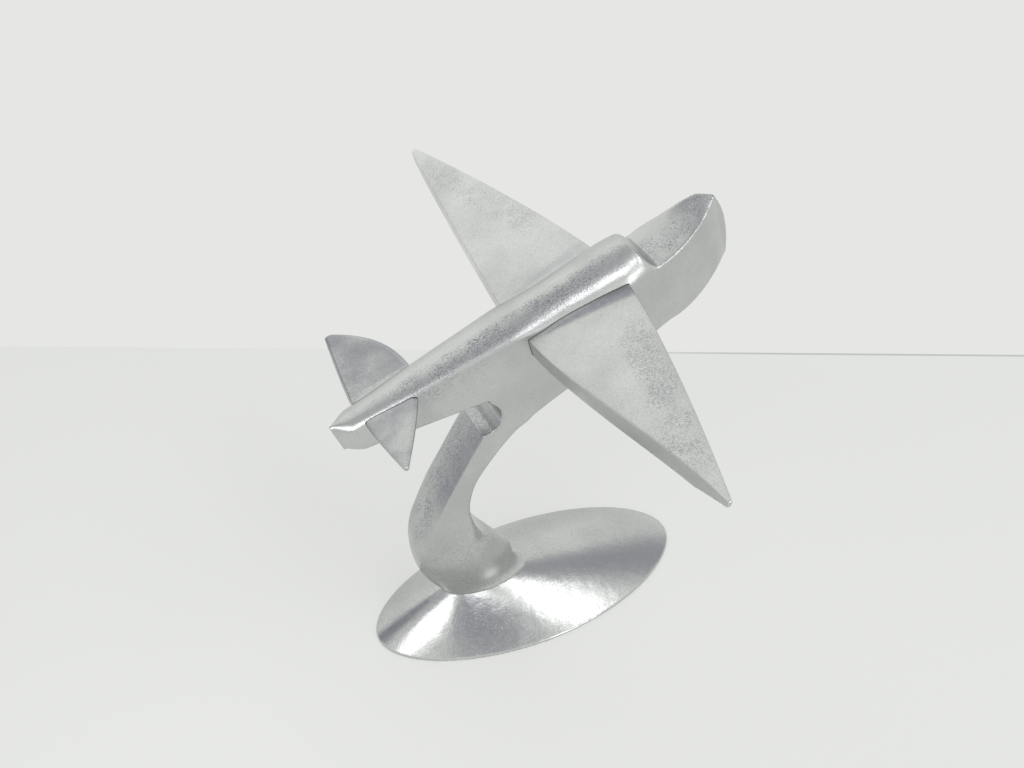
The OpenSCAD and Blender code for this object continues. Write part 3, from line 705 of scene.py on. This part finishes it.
def makeBase(material):
    tree = coneTree(material)
    casting = coneObject("baseCasting", tree, base["halfLength"], base["halfWidth"], 0, 0)
    hollow = coneObject("hollow", tree, base["halfLength"] - base["land"], base["halfWidth"] - base["land"],
                        -base["wall"] - 1, base["wall"])
    boss = [[(seatX + (seatHalfLength + 1) * math.cos(t), base["bossHalfWidth"] * math.sin(t), z)
             for t in np.linspace(0, 2 * math.pi, 96, endpoint=False)] for z in (base["bossLift"], 40)]
    combine(hollow, "DIFFERENCE", loftObject("boss", boss))
    combine(casting, "DIFFERENCE", hollow)
    handPolish(casting, 0.46, 4, 170000)
    top = loftObject("aboveSeat", [[(-150, -60, z), (150, -60, z), (150, 60, z), (-150, 60, z)]
                                   for z in (stand["seatHeight"], 60)])
    combine(casting, "DIFFERENCE", top,
            rod("washerBore", (screwX, 0, -1), washerTop, fixings["washerRadius"]),
            rod("screwBore", (screwX, 0, 0), 40, fixings["screwRadius"]),
            rod("dowelBore", (dowelX, 0, stand["seatHeight"] - fixings["dowelLength"] / 2 - 0.1), 40,
                fixings["dowelRadius"]))
    finishShading(casting, 50)
    markPoints(casting, "poresAndShade", spongyBase)
    return casting


def srgb(code):
    # a hex colour as the renderer's linear values
    parts = [int(code[i:i + 2], 16) / 255 for i in (1, 3, 5)]
    return tuple([c / 12.92 if c <= 0.04045 else ((c + 0.055) / 1.055) ** 2.4 for c in parts] + [1.0])


def newMaterial(name):
    material = bpy.data.materials.new(name)
    material.use_nodes = True
    material.node_tree.nodes.clear()
    return material, material.node_tree


def blend(tree, factor, *colours):
    # two colours, each a hex code or a socket; the colour sockets of Mix come after its other ones
    first, second = [c if isinstance(c, bpy.types.NodeSocket) else srgb(c) for c in colours]
    mix = addNode(tree, "ShaderNodeMix", {"Factor": factor, 6: first, 7: second}, data_type="RGBA")
    return mix.outputs[2]


def polishedCastAluminium(name, look):
    # Sand cast aluminium, filed and buffed by hand: a soft bright metal with hazy reflections,
    # fine buffing lines along the piece, grey pores where the casting was porous, and painted shade where
    # points are marked.
    material, tree = newMaterial(name)
    where = addNode(tree, "ShaderNodeTexCoord").outputs["Object"]

    def noise(size, detail, rough, stretch=(1, 1, 1)):
        # size is the width of a blotch in millimetres
        lay = addNode(tree, "ShaderNodeMapping", {"Vector": where, "Scale": stretch})
        return addNode(tree, "ShaderNodeTexNoise", {"Vector": lay.outputs[0], "Scale": 1 / (size * mm),
                                                    "Detail": detail, "Roughness": rough}).outputs["Fac"]

    def ramp(value, low, high, start=0.0, end=1.0):
        return addNode(tree, "ShaderNodeMapRange", {"Value": value, "From Min": low, "From Max": high,
                                                    "To Min": start, "To Max": end},
                       interpolation_type="SMOOTHSTEP").outputs[0]

    def share(attribute):
        return addNode(tree, "ShaderNodeAttribute", attribute_name=attribute).outputs["Fac"]

    def times(a, b):
        return calc(tree, "MULTIPLY", a, b)

    def plus(a, b):
        return calc(tree, "ADD", a, b)

    # slow changes in the finish
    cloud = noise(look["cloudSize"], 3, 0.55)
    # porous patches and painted shade, frosted with the smallest pores and pitted with larger ones
    spongeAndShade = times(share("poresAndShade"), ramp(noise(look["spongeSize"], 3, 0.6), 0.34, 0.56, 0.25, 1))
    speckle = ramp(noise(look["speckleSize"], 2, 0.65), 0.44, 0.57)
    grain = noise(look["poreSize"], 2, 0.6)
    pores = times(ramp(grain, look["poreFrom"], look["poreFrom"] + 0.08), plus(0.25, spongeAndShade))
    frost = times(speckle, plus(look["frost"], times(spongeAndShade, 0.75)))
    # painted shade: darker colour from the marked bands beside the wing roots and down the stem's rear
    paintedShade = times(share("paintedShade"), ramp(noise(look["paintedShadeSize"], 3, 0.6), 0.2, 0.6, 0.7, 1))
    tone = blend(tree, ramp(cloud, 0.35, 0.68), look["light"], look["dull"])
    tone = blend(tree, times(frost, look["frostDepth"]), tone, look["frostTone"])
    tone = blend(tree, times(pores, look["poreDepth"]), tone, look["pore"])
    # the painted shade pulls the colour toward the frost tone
    tone = blend(tree, times(paintedShade, look["paintedShadeDepth"]), tone, look["frostTone"])
    # buffing lines, drawn coarse enough to show, a fine grain, and slow waves left by hand filing
    lines = noise(look["lineSize"], 3, 0.6, look["buffing"])
    fine = noise(look["fineSize"], 2, 0.7)
    ripple = noise(look["rippleSize"], 2, 0.5)
    relief = plus(times(fine, look["grainHeight"]), times(lines, look["lineHeight"]))
    relief = plus(times(pores, -look["poreSink"]), relief)
    relief = plus(relief, times(frost, -look["frostSink"]))
    relief = plus(relief, times(ripple, look["rippleHeight"]))
    bump = addNode(tree, "ShaderNodeBump", {"Height": relief, "Strength": look["bump"],
                                            "Distance": 0.12 * mm})
    rough = plus(ramp(cloud, 0.3, 0.7, look["roughLow"], look["roughHigh"]),
                 plus(times(frost, 0.12), times(lines, 0.06)))
    shader = addNode(tree, "ShaderNodeBsdfPrincipled", {"Base Color": tone, "Roughness": rough,
                                                        "Normal": bump.outputs[0], "Metallic": 1.0})
    addNode(tree, "ShaderNodeOutputMaterial", {"Surface": shader.outputs[0]})
    return material


# Sizes are in millimetres, buffing says how far the lines are drawn out along each axis.
castLook = {
    "light": "#cdcecc", "dull": "#c2c3c2", "cloudSize": 26, "roughLow": 0.17, "roughHigh": 0.28,
    "spongeSize": 7, "speckleSize": 0.65, "frost": 0.08, "frostDepth": 0.75, "frostSink": 0.25,
    "frostTone": "#80828d", "pore": "#6d6f77", "poreSize": 0.9, "poreFrom": 0.61, "poreDepth": 0.6,
    "poreSink": 0.6, "paintedShadeSize": 2.5, "paintedShadeDepth": 0.78, "fineSize": 0.5, "grainHeight": 0.4,
    "lineSize": 1.1, "lineHeight": 0.3, "buffing": (0.18, 1, 1), "rippleSize": 9, "rippleHeight": 3.0,
    "bump": 0.5,
}
steelLook = {"tone": "#8e9297", "bright": "#a3a7ab", "lineSize": 0.5, "roughLow": 0.22, "roughHigh": 0.4}


def groundSteel(name, look):
    # Plain turned steel, ground and lightly oiled: darker and crisper than the casting, with fine
    # turning lines.
    material, tree = newMaterial(name)
    where = addNode(tree, "ShaderNodeTexCoord").outputs["Object"]
    lay = addNode(tree, "ShaderNodeMapping", {"Vector": where, "Scale": (1, 1, 5)})
    turning = addNode(tree, "ShaderNodeTexNoise", {"Vector": lay.outputs[0], "Detail": 2,
                                                   "Scale": 1 / (look["lineSize"] * mm)}).outputs["Fac"]
    rough = addNode(tree, "ShaderNodeMapRange", {"Value": turning, "To Min": look["roughLow"],
                                                 "To Max": look["roughHigh"]})
    bump = addNode(tree, "ShaderNodeBump", {"Height": turning, "Strength": 0.3, "Distance": 0.03 * mm})
    shader = addNode(tree, "ShaderNodeBsdfPrincipled", {
        "Base Color": blend(tree, turning, look["tone"], look["bright"]), "Roughness": rough.outputs[0],
        "Normal": bump.outputs[0], "Metallic": 1.0})
    addNode(tree, "ShaderNodeOutputMaterial", {"Surface": shader.outputs[0]})
    return material


def give(piece, material):
    piece.data.materials.clear()
    piece.data.materials.append(material)


baseLook = dict(castLook, poreFrom=0.62, cloudSize=34, roughLow=0.1, roughHigh=0.17)
nearWingLook = dict(castLook, light="#d3d4d2", dull="#c9cac8", poreFrom=0.62, buffing=(1, 0.18, 1),
                    roughLow=0.26, roughHigh=0.32, frost=0.1)
# painted light: the far wing is the same metal as the near one, coloured lighter for the brighter light it
# catches
farWingPaintedLighterLook = dict(nearWingLook, light="#dddedc", dull="#d2d3d1")
tailLook = dict(castLook, light="#c6c7c6", dull="#adaeb1", cloudSize=14, buffing=(1, 0.18, 1), frost=0.2)
bodyMetal = polishedCastAluminium("bodyPolishedCastAluminium", castLook)
baseMetal = polishedCastAluminium("basePolishedCastAluminium", baseLook)
nearWingMetal = polishedCastAluminium("starboardWingPolishedCastAluminium", nearWingLook)
farWingPaintedLighterMetal = polishedCastAluminium("portWingPaintedLighterAluminium", farWingPaintedLighterLook)
tailMetal = polishedCastAluminium("tailPolishedCastAluminium", tailLook)
steel = groundSteel("groundSteel", steelLook)

pieces = {
    "body_casting": (makeBody(), bodyMetal),
    "base_casting": (makeBase(baseMetal), baseMetal),
    "port_wing": (makePanel("portWing", port, "wing"), farWingPaintedLighterMetal),
    "starboard_wing": (makePanel("starboardWing", starboard, "wing"), nearWingMetal),
    "port_tailplane": (makePanel("portTailplane", port, "tail"), tailMetal),
    "starboard_tailplane": (makePanel("starboardTailplane", starboard, "tail"), tailMetal),
}
for node, (piece, metal) in pieces.items():
    give(piece, metal)
    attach(piece, "root")
    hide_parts(node)
    triangles = sum(len(face.vertices) - 2 for face in piece.data.polygons)
    print("made", piece.name, "with", triangles, "triangles")
for node in ("port_wing_pin", "starboard_wing_pin", "port_tail_pin", "starboard_tail_pin", "base_screw",
             "base_washer", "base_dowel"):
    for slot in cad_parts[node].material_slots:
        slot.material = steel

# The table top, pale and plain: it ends where the wall starts in the photograph.
studio = {
    "table": "#e8e9e7", "wall": "#e6e7e5", "dusk": "#d9dcf2", "wallAhead": 0.455, "wallTilt": 0.0135,
    # painted shade: the grey of the corner line where the top meets the wall
    "tableReach": 2.4, "tableGlow": 0.52, "wallCornerShade": "#c6c8c4", "wallCornerShadeWidth": 0.0016, "wallCornerShadeFade": (0.0, 0.14),
    # zones of the room that the metal mirrors: azimuth, elevation, radius and feather in degrees, brightness
    "zones": [(0, 90, 82, 8, 1.12), (150, 75, 25, 8, 0.66), (-96, 53, 14, 7, 0.5), (8, 46, 13, 10, 0.52),
              (143, 36, 12, 8, 0.4), (98, 44, 19, 8, 1.16), (133, 52, 5, 5, 1.5)],
    # lamps: azimuth, elevation, distance, width, height, power, the point in millimetres that they face, roll
    "lamps": {
        "tallWindow": (-68, 14, 1.3, 0.37, 0.75, 1.6, (0, 0, 80), 0),
        "sideWindow": (-44, 53, 1.3, 0.6, 0.26, 1.2, (10, -20, 8), 44),
        "shoulderLamp": (-97, 56, 0.35, 0.15, 0.14, 0.15, (30, -10, 167), 0),
        "rearLamp": (-154, 54, 0.35, 0.17, 0.11, 0.13, (-54, -10, 10), 38),
    },
}
camera = {"place": (-0.13674, -0.25403, 0.36732), "azimuth": -26.49, "elevation": 40.84, "lens": 34.96}
turn, rise = math.radians(camera["azimuth"]), math.radians(camera["elevation"])
ahead = np.array((-math.sin(turn), math.cos(turn)))
aside = np.array((math.cos(turn), math.sin(turn)))
wallFoot = np.array(camera["place"][:2]) + ahead * studio["wallAhead"]
corners = []
for sideways, depth in ((-1, 0), (1, 0), (1, 1), (-1, 1)):
    at = wallFoot + aside * sideways * studio["tableReach"] - ahead * depth * studio["tableReach"]
    # the table's far edge isn't quite square to the view
    at = at + ahead * studio["wallTilt"] * -sideways * studio["tableReach"] * (1 - depth)
    corners.append((at[0] / mm, at[1] / mm, 0))
table = meshObject("tableTop", corners, [[0, 3, 2, 1]])


def paleTable():
    # Satin white laminate: even and pale, it keeps the object's soft shadow.
    material, tree = newMaterial("whiteLaminate")
    path = addNode(tree, "ShaderNodeLightPath").outputs
    direct = calc(tree, "ADD", path["Is Camera Ray"], path["Is Glossy Ray"])
    direct = addNode(tree, "ShaderNodeMath", {0: direct, 1: path["Is Transmission Ray"]},
                     operation="ADD", use_clamp=True).outputs[0]
    where = addNode(tree, "ShaderNodeTexCoord").outputs["Object"]

    def distance(way):
        return addNode(tree, "ShaderNodeVectorMath", {0: where, 1: (way[0], way[1], 0)},
                       operation="DOT_PRODUCT").outputs["Value"]

    # painted shade: a thin grey line where the top meets the wall, fading out to the left
    across = ahead + aside * studio["wallTilt"]
    edge = float(np.dot(camera["place"][:2], across)) + studio["wallAhead"]
    line = calc(tree, "GREATER_THAN", distance(across), edge - studio["wallCornerShadeWidth"])
    start, end = studio["wallCornerShadeFade"]
    shown = addNode(tree, "ShaderNodeMapRange", {"Value": distance(aside), "From Min": start,
                                                 "From Max": end})
    line = calc(tree, "MULTIPLY", line, shown.outputs[0])
    tone = blend(tree, line, studio["table"], studio["wallCornerShade"])
    matt = addNode(tree, "ShaderNodeBsdfDiffuse", {"Color": tone})
    glow = addNode(tree, "ShaderNodeEmission", {"Color": tone, "Strength": 1.0})
    mixed = addNode(tree, "ShaderNodeMixShader", {0: calc(tree, "MULTIPLY", direct, studio["tableGlow"]),
                                                  1: matt.outputs[0], 2: glow.outputs[0]})
    addNode(tree, "ShaderNodeOutputMaterial", {"Surface": mixed.outputs[0]})
    return material


give(table, paleTable())


def makeRoom():
    # pale all round, with the dimmer and brighter zones that give the metal its bands
    world = bpy.data.worlds.new("room")
    bpy.context.scene.world = world
    world.use_nodes = True
    tree = world.node_tree
    tree.nodes.clear()
    way = addNode(tree, "ShaderNodeTexCoord").outputs["Generated"]
    glow = None
    for azimuth, elevation, radius, feather, brightness in studio["zones"]:
        a, e = math.radians(azimuth), math.radians(elevation)
        middle = (math.cos(a) * math.cos(e), math.sin(a) * math.cos(e), math.sin(e))
        near = addNode(tree, "ShaderNodeVectorMath", {0: way, 1: middle},
                       operation="DOT_PRODUCT").outputs["Value"]
        zone = addNode(tree, "ShaderNodeMapRange",
                       {"Value": near, "From Min": math.cos(math.radians(radius + feather)),
                        "From Max": math.cos(math.radians(max(0, radius - feather))), "To Min": 1.0,
                        "To Max": brightness}, interpolation_type="SMOOTHSTEP").outputs[0]
        glow = zone if glow is None else calc(tree, "MULTIPLY", glow, zone)
    # the dimmer a zone, the bluer it is
    tone = blend(tree, glow, studio["dusk"], studio["wall"])
    back = addNode(tree, "ShaderNodeBackground", {"Color": tone, "Strength": glow})
    addNode(tree, "ShaderNodeOutputWorld", {"Surface": back.outputs[0]})


def addWindow(name, azimuth, elevation, distance, width, height, power, aim, roll):
    # a soft rectangular light that faces a point on the object from a direction in degrees
    a, e = math.radians(azimuth), math.radians(elevation)
    outward = np.array((math.cos(a) * math.cos(e), math.sin(a) * math.cos(e), math.sin(e)))
    lamp = bpy.data.lights.new(name, "AREA")
    lamp.shape = "RECTANGLE"
    lamp.size, lamp.size_y, lamp.energy = width, height, power
    light = bpy.data.objects.new(name, lamp)
    bpy.context.scene.collection.objects.link(light)
    light.location = outward * distance + np.array(aim) * mm
    side = np.cross((0, 0, 1), outward)
    side = side / np.linalg.norm(side)
    up = np.cross(outward, side)
    c, s = math.cos(math.radians(roll)), math.sin(math.radians(roll))
    side, up = side * c + up * s, up * c - side * s
    light.rotation_euler = Matrix((side, up, outward)).transposed().to_euler()
    return light


makeRoom()
for name, values in studio["lamps"].items():
    addWindow(name, *values)

lens = bpy.data.cameras.new("camera")
lens.lens = camera["lens"]
lens.clip_start = 0.01
eye = bpy.data.objects.new("camera", lens)
bpy.context.scene.collection.objects.link(eye)
eye.location = camera["place"]
back = np.array((-ahead[0] * math.cos(rise), -ahead[1] * math.cos(rise), math.sin(rise)))
right = np.array((aside[0], aside[1], 0.0))
eye.rotation_euler = Matrix((right, np.cross(back, right), back)).transposed().to_euler()
bpy.context.scene.camera = eye
bpy.context.scene.view_settings.view_transform = "Standard"
print("studio ready")
